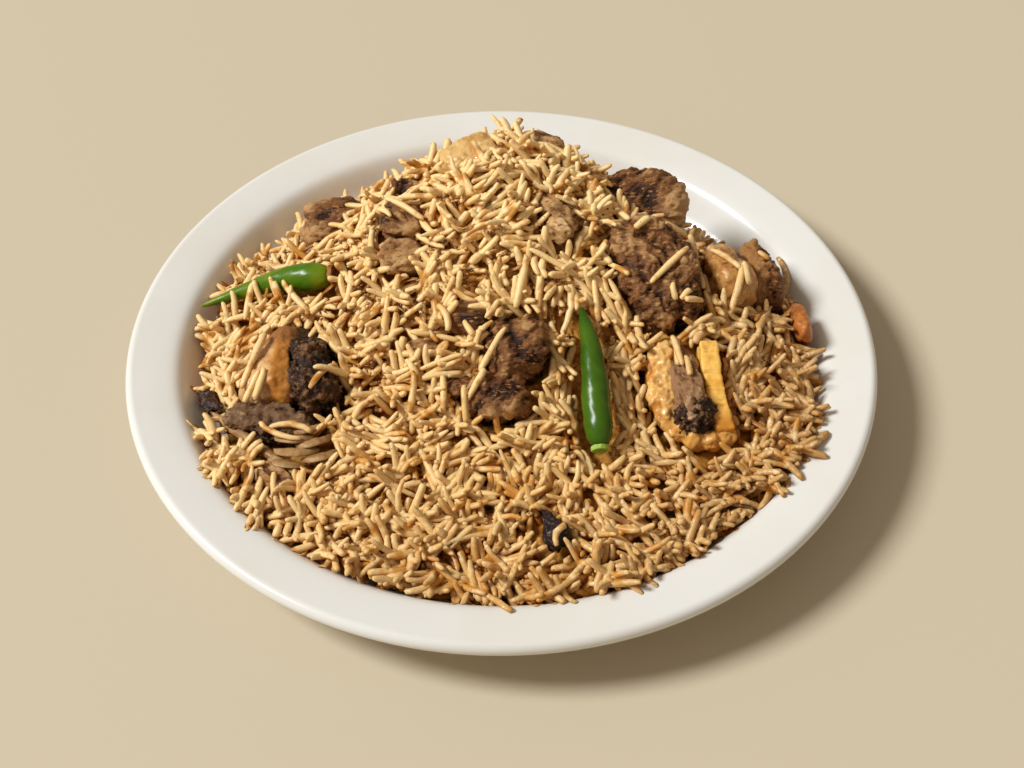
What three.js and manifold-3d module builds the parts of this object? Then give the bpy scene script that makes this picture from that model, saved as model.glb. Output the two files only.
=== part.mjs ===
// A dinner plate of beef yakhni pilaf: one round glazed plate, a heap of long-grain rice over the whole
// well, chunks of stewed beef, a rib piece and a cut marrow bone set into the heap, two whole green chilies
// and a black cardamom pod. Millimetres, +Z up. The origin is the middle of the foot ring, on the table.
// +Y points to the back of the plate, where the heap is highest.

import * as THREE from 'three';
import { mergeVertices } from 'three/addons/utils/BufferGeometryUtils.js';
import Module from 'manifold-3d';

const wasm = await Module();
wasm.setup();

// ---- driving dimensions ----
const GAP = 0.35;                 // clear space between pieces that touch

const PLATE_RADIUS = 130;
const PLATE_HEIGHT = 23.5;        // top of the rolled lip above the table
const WELL_RADIUS = 109;          // edge where the rim turns down into the well
const WELL_EDGE_HEIGHT = 16.4;
const SHOULDER_RADIUS = 116.5;    // outside this the rim is nearly flat
const SHOULDER_HEIGHT = 21.9;
const WELL_FLOOR_RADIUS = 90;     // flat part of the well
const WELL_FLOOR_HEIGHT = 6;
const PLATE_WALL = 4.2;           // thickness of the glazed body
const FOOT_RADIUS = 71;           // outside of the foot ring
const FOOT_WIDTH = 7;
const LIP_RADIUS = 2.5;           // rolled edge
const SECTORS = 36;               // steps round the plate and the heap

const HEAP_RADIUS = 108.5;        // how far the rice reaches on average
const HEAP_EDGE = 3;              // depth of the rice where it ends
const HEAP_LEVEL = 22.5;          // height of the rice in the middle apart from its mounds
const HEAP_RINGS = 7;

const GLAZE = '#efece6';
const RICE = '#b98e58';
const BEEF = '#5b4334';
const PALE_BEEF = '#8a6a4c';
const CHAR = '#1d1512';
const FAT = '#c79a5c';
const BONE = '#d9a24a';
const POD = '#2a1a18';
const CHILI = '#1f6a12';

// ---- from three.js geometry to a closed solid and back ----
function solid(geometry) {
  const bare = geometry.clone();
  bare.deleteAttribute('normal');
  bare.deleteAttribute('uv');
  const merged = mergeVertices(bare, 1e-4);
  const index = merged.index.array;
  const triangles = [];
  for (let i = 0; i < index.length; i += 3) {
    const [a, b, c] = [index[i], index[i + 1], index[i + 2]];
    if (a !== b && b !== c && c !== a) triangles.push(a, b, c);
  }
  return new wasm.Manifold(new wasm.Mesh({
    numProp: 3,
    vertProperties: new Float32Array(merged.attributes.position.array),
    triVerts: new Uint32Array(triangles),
  }));
}

// A cut can leave loose crumbs beside the piece, so only the largest body is kept.
function geometryOf(body) {
  const bodies = body.decompose().sort((a, b) => b.volume() - a.volume());
  const { vertProperties, triVerts } = bodies[0].getMesh();
  const geometry = new THREE.BufferGeometry();
  geometry.setAttribute('position', new THREE.BufferAttribute(new Float32Array(vertProperties), 3));
  geometry.setIndex(new THREE.BufferAttribute(new Uint32Array(triVerts), 1));
  geometry.computeVertexNormals();
  return geometry;
}

// Moves every vertex of a geometry by a rule.
function reshape(geometry, rule) {
  const position = geometry.attributes.position;
  const point = new THREE.Vector3();
  for (let i = 0; i < position.count; i += 1) {
    point.fromBufferAttribute(position, i);
    rule(point);
    position.setXYZ(i, point.x, point.y, point.z);
  }
  return geometry;
}

// Smooth noise between about -1 and 1: a few sine waves in seeded directions.
function wobble(seed, waves = 8) {
  let state = seed * 7919 + 13;
  const next = () => {
    state = (state * 16807) % 2147483647;
    return state / 2147483647;
  };
  const table = Array.from({ length: waves }, (_, i) => ({
    wave: new THREE.Vector3(next() - 0.5, next() - 0.5, next() - 0.5).setLength(1.6 + i * 0.5),
    phase: next() * 2 * Math.PI,
    weight: 1 / (1 + i * 0.35),
  }));
  const total = table.reduce((sum, { weight }) => sum + weight, 0) / 2;
  return (x, y, z) => {
    const point = new THREE.Vector3(x, y, z);
    return table.reduce((sum, { wave, phase, weight }) => (
      sum + weight * Math.sin(wave.dot(point) + phase)), 0) / total;
  };
}

// ---- plate: a body of revolution about Z ----
// Upper side from the middle to the lip, raised by lift where a clearance is wanted.
function upperLine(lift = 0) {
  const path = new THREE.Path();
  const [floor, edge, shoulder] = [WELL_FLOOR_RADIUS, WELL_RADIUS, SHOULDER_RADIUS].map((r) => r - lift);
  path.moveTo(0, WELL_FLOOR_HEIGHT + lift);
  path.lineTo(floor, WELL_FLOOR_HEIGHT + lift);
  path.bezierCurveTo(
    floor + 12, WELL_FLOOR_HEIGHT + lift,
    edge - 2.5, WELL_EDGE_HEIGHT - 3.7 + lift,
    edge, WELL_EDGE_HEIGHT + lift);
  path.quadraticCurveTo(shoulder - 4.3, SHOULDER_HEIGHT - 0.7 + lift, shoulder, SHOULDER_HEIGHT + lift);
  return path.getPoints(4);
}

function platePoints(lift = 0) {
  const lip = new THREE.Path();
  lip.absarc(PLATE_RADIUS - LIP_RADIUS, PLATE_HEIGHT - LIP_RADIUS, LIP_RADIUS + lift,
    0.6 * Math.PI, -0.6 * Math.PI, true);
  const wellUnderside = WELL_FLOOR_HEIGHT - PLATE_WALL;
  const under = [
    [SHOULDER_RADIUS, SHOULDER_HEIGHT - PLATE_WALL],
    [WELL_RADIUS + 3.5, WELL_EDGE_HEIGHT - 0.8],
    [WELL_RADIUS - 0.7, WELL_EDGE_HEIGHT - 7.6],
    [WELL_RADIUS - 5.5, WELL_EDGE_HEIGHT - 12],
    [WELL_FLOOR_RADIUS, wellUnderside + 0.5],
    [FOOT_RADIUS + 1, wellUnderside],
    [FOOT_RADIUS, 0],
    [FOOT_RADIUS - FOOT_WIDTH, 0],
    [FOOT_RADIUS - FOOT_WIDTH - 1.5, wellUnderside],
    [0, wellUnderside],
  ].map(([radius, height]) => new THREE.Vector2(radius, height));
  return [...upperLine(lift), ...lip.getPoints(3), ...under].reverse();
}

function revolve(points) {
  return new THREE.LatheGeometry(points, SECTORS).rotateX(Math.PI / 2);
}

// ---- rice heap ----
// The outline is nearly the well's edge: it falls short at the back, and spills on the rim at the right.
const OUTLINE_SWELLS = [          // [direction in degrees, half width in degrees, how far out in mm]
  [50, 38, -9],
  [135, 32, -7],
  [-20, 18, 5],
];
const MOUNDS = [                  // [x, y, height, spread]
  [4, 54, 46, 44],
  [76, 12, 14, 27],
  [-42, 16, 7, 38],
];

function heapReach(angle) {
  const ripple = 1.5 * Math.sin(5 * angle + 1) + 1.2 * Math.sin(9 * angle);
  return OUTLINE_SWELLS.reduce((reach, [direction, width, out]) => {
    const away = THREE.MathUtils.radToDeg(angle) - direction;
    const turn = THREE.MathUtils.euclideanModulo(away + 180, 360) - 180;
    return reach + out * Math.exp(-((turn / width) ** 2));
  }, HEAP_RADIUS + ripple);
}

// Height of the plate's upper side under the rice.
function plateTop(radius) {
  const line = [...upperLine(), new THREE.Vector2(PLATE_RADIUS - LIP_RADIUS, PLATE_HEIGHT)];
  const next = line.findIndex((point) => point.x >= radius);
  return THREE.MathUtils.mapLinear(radius, line[next - 1].x, line[next].x, line[next - 1].y, line[next].y);
}

function heapHeight(x, y) {
  const reach = heapReach(Math.atan2(y, x));
  const out = Math.min(1, Math.hypot(x, y) / reach);
  const middle = MOUNDS.reduce((sum, [mx, my, height, spread]) => (
    sum + height * Math.exp(-((x - mx) ** 2 + (y - my) ** 2) / (2 * spread ** 2))), HEAP_LEVEL);
  return THREE.MathUtils.lerp(middle, plateTop(reach) + HEAP_EDGE, out ** 4);
}

function riceHeap() {
  const profile = [new THREE.Vector2(0, -1), new THREE.Vector2(1, -1)];
  for (let ring = HEAP_RINGS; ring >= 0; ring -= 1) {
    profile.push(new THREE.Vector2((ring / HEAP_RINGS) ** 0.8, 1));
  }
  const bumps = wobble(7, 6);
  return reshape(revolve(profile), (point) => {
    const reach = heapReach(Math.atan2(point.y, point.x));
    const top = point.z > 0;
    point.x *= reach;
    point.y *= reach;
    const surface = heapHeight(point.x, point.y) + 1.2 * bumps(point.x / 30, point.y / 30, 0);
    point.z = top ? surface : WELL_FLOOR_HEIGHT;
  });
}

// ---- lumps: meat, fat, gristle ----
// size: length, width, height. square: 0 for an egg, 1 for a block with round edges. rough: depth of the
// bumps as a share of the size. taper: how much narrower the +X end is.
function lump({ size, square = 0.4, rough = 0.16, taper = 0, seed, detail = 1 }, grow) {
  const bumps = wobble(seed);
  const power = 1 / (1 + 1.4 * square);
  const half = 0.5 * THREE.MathUtils.lerp(1, 0.86, square);
  const bulge = (value) => Math.sign(value) * Math.abs(value) ** power;
  return reshape(new THREE.IcosahedronGeometry(1, detail), (point) => {
    const bump = 1 + rough * bumps(point.x, point.y, point.z);
    const narrow = 1 - taper * (point.x + 1) / 2;
    point.set(bulge(point.x), bulge(point.y) * narrow, bulge(point.z) * narrow);
    const outward = point.clone().normalize();
    point.multiply(new THREE.Vector3(...size)).multiplyScalar(half * bump).addScaledVector(outward, grow);
  });
}

function placed(piece, grow) {
  const { at: [x, y], rise, turn } = piece;
  const [rx, ry, rz] = turn.map(THREE.MathUtils.degToRad);
  const matrix = new THREE.Matrix4().makeRotationFromEuler(new THREE.Euler(rx, ry, rz, 'ZYX'));
  matrix.setPosition(x, y, heapHeight(x, y) + rise);
  return solid(lump(piece, grow).applyMatrix4(matrix));
}

// Place on the plate, how far the middle stands above the rice, size, turn in degrees. A lobe is joined to
// its piece. Where two pieces would meet, the later one is cut away.
const LUMPS = [
  { name: 'marrow_beef', color: PALE_BEEF, at: [61, -28], rise: 2, size: [15, 38, 18], turn: [-12, 0, 13],
    square: 0.5, seed: 22, detail: 2 },
  { name: 'marrow_bone', color: BONE, at: [63, -30], rise: 0, size: [29, 41, 19], turn: [-12, 0, 13],
    square: 0.8, rough: 0.1, seed: 23, detail: 2 },
  { name: 'rib_char', color: CHAR, at: [-64, -23], rise: 0, size: [20, 34, 22], turn: [-10, 0, 12],
    square: 0.5, seed: 20, detail: 2 },
  { name: 'rib_fat', color: FAT, at: [-75, -15], rise: 1, size: [23, 38, 21], turn: [-10, 0, -14],
    square: 0.7, rough: 0.1, seed: 19, detail: 2 },
  { name: 'rib_beef', color: BEEF, at: [-76, -38], rise: -1, size: [30, 15, 12], turn: [0, 0, -12], seed: 21 },
  { name: 'beef_left_back', color: BEEF, at: [-59, 53], rise: -3, size: [24, 19, 15], turn: [8, -6, 12],
    seed: 3 },
  { name: 'beef_left_small', color: BEEF, at: [-34, 46], rise: -3, size: [11, 11, 9], turn: [0, 0, 30], seed: 4 },
  { name: 'beef_left_dark', color: BEEF, at: [-34, 28], rise: -1, size: [17, 13, 11], turn: [10, 0, -15],
    seed: 5 },
  { name: 'beef_left_pale', color: PALE_BEEF, at: [-34, 16], rise: -2, size: [13, 14, 10], turn: [0, 10, 20],
    seed: 6 },
  { name: 'beef_back', color: PALE_BEEF, at: [14, 63], rise: -3, size: [18, 15, 12], turn: [0, 8, -5], seed: 7 },
  { name: 'gristle_back', color: FAT, at: [-11, 52], rise: -5, size: [22, 19, 15], turn: [0, -10, 25],
    rough: 0.1, seed: 8 },
  { name: 'beef_back_middle', color: PALE_BEEF, at: [18, 26], rise: -2, size: [26, 14, 12],
    turn: [0, -8, 125], taper: 0.55, seed: 9 },
  { name: 'beef_right_back', color: BEEF, at: [50, 50], rise: -1, size: [32, 25, 23], turn: [10, 0, -10],
    seed: 10, detail: 2 },
  { name: 'beef_folded', color: BEEF, at: [53, 10], rise: -2, size: [43, 30, 27], turn: [0, 14, -74],
    square: 0.5, taper: 0.3, seed: 11, detail: 2,
    lobe: { at: [62, 11], rise: -2, size: [39, 14, 26], turn: [0, 14, -84], square: 0.3, seed: 33 } },
  { name: 'beef_right', color: BEEF, at: [92, 23], rise: 1, size: [14, 32, 26], turn: [-14, 0, 8],
    square: 0.7, seed: 13, detail: 2 },
  { name: 'fat_right', color: FAT, at: [80, 18], rise: 0, size: [18, 30, 24], turn: [-16, 0, 8], seed: 12 },
  { name: 'beef_centre', color: BEEF, at: [6, -18], rise: 0, size: [23, 24, 19], turn: [0, 0, 10],
    square: 0.5, seed: 14, detail: 2,
    lobe: { at: [-1, -35], rise: 0, size: [22, 18, 16], turn: [0, 0, 12], seed: 15, detail: 2 } },
  { name: 'beef_shred', color: BEEF, at: [-13, -29], rise: -1, size: [14, 8, 7], turn: [0, 0, 45], seed: 16 },
  { name: 'beef_centre_left', color: BEEF, at: [-11, -8], rise: -1, size: [15, 11, 9], turn: [0, 0, -10],
    seed: 17 },
  { name: 'beef_buried', color: PALE_BEEF, at: [-26, -17], rise: -3, size: [14, 11, 9], turn: [0, 0, 15],
    seed: 18 },
  { name: 'onion_left', color: FAT, at: [-68, -50], rise: 0, size: [28, 9, 6], turn: [0, 0, -8], rough: 0.06,
    seed: 24 },
  { name: 'gristle_left', color: PALE_BEEF, at: [-73, -61], rise: -1, size: [14, 9, 7], turn: [0, 0, -40],
    rough: 0.08, seed: 25 },
  { name: 'spice_left', color: POD, at: [-101, -21], rise: 0, size: [6, 7, 6], turn: [0, 0, 10], seed: 26 },
  { name: 'spice_left_low', color: POD, at: [-98, -29], rise: 1, size: [6, 8, 6], turn: [0, 0, 30], seed: 27 },
  { name: 'skin_right', color: BONE, at: [104, 5], rise: 3, size: [6, 17, 12], turn: [0, 0, 10], seed: 28 },
  { name: 'cardamom', color: POD, at: [16, -83], rise: 2, size: [19, 12, 10], turn: [0, -12, 115],
    taper: 0.6, rough: 0.1, seed: 29 },
];

function lumpBody(piece, grow) {
  const body = placed(piece, grow);
  return piece.lobe ? body.add(placed(piece.lobe, grow)) : body;
}

// ---- chilies and rib: a long body along a bent line ----
// section gives the half width at each share, 0 to 1, of the way along the route.
function along({ route, section, flat = 1, steps = 10, sides = 8 }, grow) {
  const curve = new THREE.CatmullRomCurve3(route.map((point) => new THREE.Vector3(...point)));
  const profile = [new THREE.Vector2(0, 0)];
  for (let i = 0; i <= steps; i += 1) profile.push(new THREE.Vector2(1, i / steps));
  profile.push(new THREE.Vector2(0, 1));
  const up = new THREE.Vector3(0, 0, 1);
  return solid(reshape(new THREE.LatheGeometry(profile, sides), (point) => {
    const share = THREE.MathUtils.clamp(point.y, 0, 1);
    const tangent = curve.getTangentAt(share);
    const side = new THREE.Vector3().crossVectors(tangent, up).normalize();
    const over = new THREE.Vector3().crossVectors(side, tangent);
    const width = section(share) + grow;
    const [across, high] = [point.x * width, point.z * width * flat];
    const past = share === 0 ? -grow : (share === 1 ? grow : 0);
    point.copy(curve.getPointAt(share)).addScaledVector(tangent, past);
    point.addScaledVector(side, across).addScaledVector(over, high);
  }));
}

// A pod swells from its pointed tip to a round shoulder and ends at the scar where its stalk was.
const pod = (radius, fullAt, power) => (share) => {
  const swell = Math.min(1, (share + 0.01) / fullAt) ** power;
  const shoulder = Math.sqrt(1 - Math.max(0, (share - 0.88) / 0.15) ** 2);
  return radius * swell * shoulder;
};
const blade = (radius) => (share) => radius * Math.sqrt(1.04 - (2 * share - 1) ** 2);

const LONG_PIECES = [
  { name: 'chili_left', color: CHILI, section: pod(5.1, 0.82, 0.8),
    route: [[-107, 19, 21], [-95, 20.5, 25], [-80, 20, 32], [-60, 16, 38.5]] },
  { name: 'chili_centre', color: CHILI, section: pod(4.9, 0.65, 0.55),
    route: [[27, -7, 45], [29.5, -21, 42], [31, -37, 36], [32, -54, 28.5]] },
  { name: 'rib_bone', color: BONE, section: blade(4.6), flat: 0.42,
    route: [[-98, -31, 20], [-83, -47, 22], [-64, -62, 22]] },
];

// ---- assembly ----
const part = new THREE.Group();
function add(name, color, roughness, body) {
  const material = new THREE.MeshStandardMaterial({ color, roughness, metalness: 0 });
  const mesh = new THREE.Mesh(geometryOf(body), material);
  mesh.name = name;
  part.add(mesh);
}

add('plate', GLAZE, 0.15, solid(revolve(platePoints())));
let taken = solid(revolve(platePoints(GAP)));
for (const piece of LONG_PIECES) {
  add(piece.name, piece.color, 0.35, along(piece, 0).subtract(taken));
  taken = taken.add(along(piece, GAP));
}
for (const piece of LUMPS) {
  add(piece.name, piece.color, 0.6, lumpBody(piece, 0).subtract(taken));
  taken = taken.add(lumpBody(piece, GAP));
}
add('rice_heap', RICE, 0.7, solid(riceHeap()).subtract(taken));

export default part;
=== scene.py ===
import math

import bpy
import numpy as np
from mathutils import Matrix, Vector
from mathutils.bvhtree import BVHTree
from mathutils.geometry import interpolate_bezier
from mathutils.noise import noise


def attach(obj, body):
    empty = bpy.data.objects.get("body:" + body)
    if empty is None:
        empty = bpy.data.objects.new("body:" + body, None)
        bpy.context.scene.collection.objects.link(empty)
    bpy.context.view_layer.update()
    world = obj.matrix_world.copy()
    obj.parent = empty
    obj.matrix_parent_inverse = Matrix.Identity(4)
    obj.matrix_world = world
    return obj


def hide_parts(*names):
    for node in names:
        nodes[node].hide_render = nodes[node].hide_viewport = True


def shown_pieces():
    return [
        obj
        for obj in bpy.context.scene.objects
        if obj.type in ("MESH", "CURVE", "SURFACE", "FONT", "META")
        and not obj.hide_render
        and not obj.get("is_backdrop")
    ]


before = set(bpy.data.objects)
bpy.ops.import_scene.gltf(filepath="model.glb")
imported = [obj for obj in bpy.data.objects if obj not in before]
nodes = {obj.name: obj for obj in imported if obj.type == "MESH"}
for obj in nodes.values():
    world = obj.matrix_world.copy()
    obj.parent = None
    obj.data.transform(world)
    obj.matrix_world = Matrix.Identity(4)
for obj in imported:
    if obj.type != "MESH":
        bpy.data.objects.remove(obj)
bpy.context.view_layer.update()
MM = 0.001
rng = np.random.default_rng(41)

# ---- camera -------------------------------------------------------------------------------------------
# The photograph looks down on the front of the plate from well above the table, with a normal lens.
CAMERA_ELEVATION = math.radians(46.7)
CAMERA_DISTANCE = 610 * MM
CAMERA_AIM = Vector((3.6, 0.3, 0)) * MM
SENSOR_WIDTH = 36
FOCAL_SHARE = 1700 / 1024        # focal length as a share of the picture's width

toward_camera = Vector((0, -math.cos(CAMERA_ELEVATION), math.sin(CAMERA_ELEVATION)))
bpy.ops.object.select_all(action="DESELECT")
bpy.ops.object.camera_add(
    location=CAMERA_AIM + toward_camera * CAMERA_DISTANCE,
    rotation=(math.pi / 2 - CAMERA_ELEVATION, 0, 0))
camera = bpy.context.object
camera.data.sensor_width = SENSOR_WIDTH
camera.data.lens = SENSOR_WIDTH * FOCAL_SHARE
camera.data.clip_start = 10 * MM
bpy.context.scene.camera = camera

# ---- studio -------------------------------------------------------------------------------------------
# One large soft light, high and far off at the left, and a warm even surround that fills the shadows. The
# floor is a plain warm pale table top.
KEY_ELEVATION = math.radians(46)
KEY_TURN = math.radians(183)     # from +X, so the light comes from the left
KEY_DISTANCE = 12                # in metres, like the next one and the floor
KEY_SIZE = 3.6
KEY_POWER = 1590
KEY_COLOUR = (0.955, 0.985, 1.0)
SURROUND = (1.0, 0.86, 0.71, 1)
SURROUND_STRENGTH = 0.35
FLOOR_SIZE = 6
FLOOR_COLOUR = (0.60, 0.515, 0.375, 1)


def plug(tree, socket, value):
    """Links another socket to this one, or sets this one to a value."""
    if isinstance(value, bpy.types.NodeSocket):
        tree.links.new(value, socket)
    else:
        socket.default_value = value


def wire(tree, node, **wires):
    """Plugs a socket or a value into each input, which is named with _ for a space."""
    for name, value in wires.items():
        plug(tree, node.inputs[name.replace("_", " ")], value)


def start_material(name):
    """A new material, with its node tree and its shader."""
    made = bpy.data.materials.new(name)
    made.use_nodes = True
    return made, made.node_tree, made.node_tree.nodes["Principled BSDF"]


def start_shape(name, primitive, **settings):
    """Adds a primitive, with nothing else selected."""
    bpy.ops.object.select_all(action="DESELECT")
    primitive(**settings)
    bpy.context.object.name = name
    return bpy.context.object


bpy.context.scene.view_settings.view_transform = "Standard"
key_from = Vector((
    math.cos(KEY_TURN) * math.cos(KEY_ELEVATION),
    math.sin(KEY_TURN) * math.cos(KEY_ELEVATION),
    math.sin(KEY_ELEVATION)))
bpy.ops.object.light_add(type="AREA", location=key_from * KEY_DISTANCE)
key = bpy.context.object
key.rotation_euler = key_from.to_track_quat("Z", "Y").to_euler()
key.data.shape = "DISK"
key.data.size = KEY_SIZE
key.data.energy = KEY_POWER
key.data.color = KEY_COLOUR

world = bpy.data.worlds.new("surround")
world.use_nodes = True
tree = world.node_tree
wire(tree, tree.nodes["Background"], Color=SURROUND, Strength=SURROUND_STRENGTH)
bpy.context.scene.world = world

floor = start_shape("floor", bpy.ops.mesh.primitive_plane_add, size=FLOOR_SIZE)
table_top, tree, shader = start_material("pale table top")
wire(tree, shader, Base_Color=FLOOR_COLOUR, Roughness=0.55, Specular_IOR_Level=0.3)
floor.data.materials.append(table_top)
floor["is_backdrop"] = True

# ---- plate --------------------------------------------------------------------------------------------
# A round stoneware dinner plate with a deep well, a broad, nearly flat rim and a rolled edge, glazed
# off-white all over but for the foot ring. It is drawn out ring by ring from the middle of its underside.
PLATE_SIDES = 176
FIRST_RING = 20                  # radius of the ring it is drawn out from, in millimetres
WELL_EDGE = (109, 16.4)          # radius and height, in millimetres, as in every ring below
SHOULDER = (116.5, 21.9)
WELL_FLOOR = (88, 6)
UNDERSIDE = 1.8
FOOT_BARE = 0.9 * MM             # the glaze ends this high on the foot ring
RIM_EDGE = 130
PLATE_TOP = 23.5
LIP = 2.5
GLAZE = (0.775, 0.76, 0.715, 1)
GLAZE_WARM = (0.76, 0.735, 0.67, 1)
BARE_CLAY = (0.62, 0.56, 0.46, 1)


def curve_between(start, start_pull, end_pull, end, steps):
    """Points in millimetres along a curve that leaves and reaches its ends towards the two pulls."""
    corners = [Vector((*corner, 0)) for corner in (start, start_pull, end_pull, end)]
    return [(point.x, point.y) for point in interpolate_bezier(*corners, steps)]


def add(tree, kind, **wires):
    """Adds a node and wires it up. A name in small letters is one of the node's own settings."""
    made = tree.nodes.new("ShaderNode" + kind)
    for name in [name for name in wires if name[0].islower()]:
        setattr(made, name, wires.pop(name))
    wire(tree, made, **wires)
    return made


def place_on(tree):
    """Where each point of the piece is, in metres."""
    return add(tree, "TexCoord").outputs["Object"]


def cloudy(tree, place, scale, detail, roughness=0.5):
    """A cloudy pattern from 0 to 1. The scale is how many clouds there are in a metre."""
    made = add(tree, "TexNoise", Vector=place, Scale=scale, Detail=detail, Roughness=roughness)
    return made.outputs["Fac"]


def window(tree, value, low, high):
    """A mask that goes softly from 0 to 1 as the value goes from low to high."""
    made = add(tree, "MapRange", interpolation_type="SMOOTHSTEP", Value=value, From_Min=low, From_Max=high)
    return made.outputs["Result"]


def scaled(tree, mask, low, high):
    """A value that is low where the mask is 0 and high where it is 1."""
    return add(tree, "MapRange", Value=mask, To_Min=low, To_Max=high).outputs["Result"]


def coloured(tree, colour, *layers):
    """A colour with others laid over it. Each is a value, where it starts and is full, and its colour."""
    for value, low, high, tint in layers:
        mix = add(tree, "Mix", data_type="RGBA")
        for index, wired in ((0, window(tree, value, low, high)), (6, colour), (7, tint)):
            plug(tree, mix.inputs[index], wired)
        colour = mix.outputs[2]
    return colour


def raised_by(tree, height, strength, depth, **under):
    """A surface raised by a pattern, that many millimetres deep at full strength."""
    made = add(tree, "Bump", Height=height, Strength=strength, Distance=depth * MM, **under)
    return made.outputs["Normal"]


def finish_piece(piece, material, slot, *replaced):
    """Gives a piece its material and its place on the plate, and hides the parts it stands in for. The slot
    is not used.
    """
    piece.data.materials.append(material)
    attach(piece, "root")
    if replaced:
        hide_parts(*replaced)


underside_rings = [
    (62.3, UNDERSIDE), (63.6, 1.6), (64.1, 0.5), (64.8, 0), (70.2, 0), (70.9, 0.5), (71.4, 1.5),
    (72.6, UNDERSIDE),
    *curve_between((88, 2.2), (97, 2.6), (103.6, 4.4), (108.3, 8.8), 7),
    *curve_between((109.2, 10.2), (110.9, 13.6), (112.5, 16.2), (116.5, 17.7), 7)]
lip_rings = [
    (RIM_EDGE - LIP + LIP * math.cos(turn), PLATE_TOP - LIP + LIP * math.sin(turn))
    for turn in np.radians(np.linspace(-95, 105, 15))]
well_rings = [
    *curve_between((125.4, 23.25), (122.5, 22.9), (119.5, 22.45), SHOULDER, 5),
    *curve_between((115.6, 21.7), (112.6, 21.1), (111.6, 20.1), WELL_EDGE, 9),
    *curve_between((108, 14.9), (105.6, 11.2), (101.5, WELL_FLOOR[1]), WELL_FLOOR, 13)]

plate = start_shape(
    "glazed_plate", bpy.ops.mesh.primitive_circle_add, vertices=PLATE_SIDES, radius=FIRST_RING * MM,
    fill_type="NGON", location=(0, 0, UNDERSIDE * MM))
bpy.ops.object.transform_apply(location=True)
bpy.ops.object.mode_set(mode="EDIT")
bpy.ops.mesh.select_all(action="SELECT")
bpy.ops.mesh.flip_normals()
bpy.ops.mesh.region_to_loop()
last_radius, last_height = FIRST_RING, UNDERSIDE
for radius, height in underside_rings + lip_rings + well_rings:
    bpy.ops.mesh.extrude_edges_move(
        TRANSFORM_OT_translate={"value": (0, 0, (height - last_height) * MM)})
    grown = radius / last_radius
    bpy.ops.transform.resize(value=(grown, grown, 1), center_override=(0, 0, height * MM))
    last_radius, last_height = radius, height
bpy.ops.mesh.edge_face_add()
bpy.ops.mesh.select_all(action="SELECT")
bpy.ops.mesh.normals_make_consistent(inside=False)
bpy.ops.object.mode_set(mode="OBJECT")
bpy.ops.object.shade_smooth()

glaze, tree, shader = start_material("off-white glaze")
place = place_on(tree)
height = add(tree, "SeparateXYZ", Vector=place).outputs["Z"]
clouds, pits = cloudy(tree, place, 28.0, 3.0), cloudy(tree, place, 900.0, 2.0)
glaze_colour = coloured(tree, GLAZE, (clouds, 0.4, 0.7, GLAZE_WARM))
wire(tree, shader,
     Base_Color=coloured(tree, BARE_CLAY, (height, FOOT_BARE * 0.6, FOOT_BARE, glaze_colour)),
     Roughness=scaled(tree, window(tree, height, FOOT_BARE * 0.6, FOOT_BARE), 0.8, 0.2),
     Normal=raised_by(tree, clouds, 0.10, 1.2, Normal=raised_by(tree, pits, 0.04, 0.1)))
finish_piece(plate, glaze, "glaze", "plate")

# ---- rice heap: what lies under the loose grains --------------------------------------------------------
# Long-grain rice cooked in stock, heaped in the well. The grains that show are made one by one further
# down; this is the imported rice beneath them, so it is lower than the heap by a few grains' thickness.
CORE_DEPTH = 4.6
CORE_INSET = 0.93
CORE_BOTTOM = 7.0
CORE_FINENESS = 1.4
# Its two colours, darker and browner than the loose grains', are painted shade for the gaps between the
# grains.
PACKED_SHADE_PALE = (0.60, 0.30, 0.06, 1)
PACKED_SHADE_DARK = (0.36, 0.13, 0.014, 1)


def select_only(piece):
    """Selects one object and makes it the active one."""
    bpy.ops.object.select_all(action="DESELECT")
    piece.select_set(True)
    bpy.context.view_layer.objects.active = piece


def apply_modifier(piece, kind, **settings):
    """Adds one modifier with its settings and applies it to the mesh."""
    select_only(piece)
    modifier = piece.modifiers.new(kind.lower(), kind)
    for setting, value in settings.items():
        setattr(modifier, setting, value)
    bpy.ops.object.modifier_apply(modifier=modifier.name)


def copy_of(node, name):
    """A new piece from a frame node's mesh, with its loose triangles joined."""
    piece = bpy.data.objects.new(name, nodes[node].data.copy())
    bpy.context.collection.objects.link(piece)
    piece.data.materials.clear()
    select_only(piece)
    bpy.ops.object.mode_set(mode="EDIT")
    bpy.ops.mesh.select_all(action="SELECT")
    bpy.ops.mesh.remove_doubles(threshold=0.01 * MM)
    bpy.ops.object.mode_set(mode="OBJECT")
    return piece


def points_of(piece):
    """The points of a piece's mesh as an array, in metres."""
    points = np.empty(len(piece.data.vertices) * 3, np.float32)
    piece.data.vertices.foreach_get("co", points)
    return points.reshape(-1, 3)


def set_points(piece, points):
    """Moves the points of a piece's mesh."""
    piece.data.vertices.foreach_set("co", np.asarray(points, np.float32).ravel())
    piece.data.update()


def relief_of(size, depth, level=0.5, kind="CLOUDS", **settings):
    """A pattern that raises and sinks a surface: how wide its features are and how deep, in millimetres,
    and the level of it that stays put."""
    pattern = bpy.data.textures.new(kind.lower(), kind)
    pattern.noise_scale = size * MM
    for setting, value in settings.items():
        setattr(pattern, setting, value)
    return dict(texture=pattern, strength=depth * MM, mid_level=level)


core = copy_of("rice_heap", "rice_core")
points = points_of(core)
points[:, :2] *= CORE_INSET
points[:, 2] = np.maximum(points[:, 2] - CORE_DEPTH * MM, np.minimum(points[:, 2], CORE_BOTTOM * MM))
set_points(core, points)
apply_modifier(core, "REMESH", mode="VOXEL", voxel_size=CORE_FINENESS * MM)
apply_modifier(core, "DISPLACE", texture_coords="LOCAL", **relief_of(2.6, 2.4, 0.6, "STUCCI"))
bpy.ops.object.shade_smooth()

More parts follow.
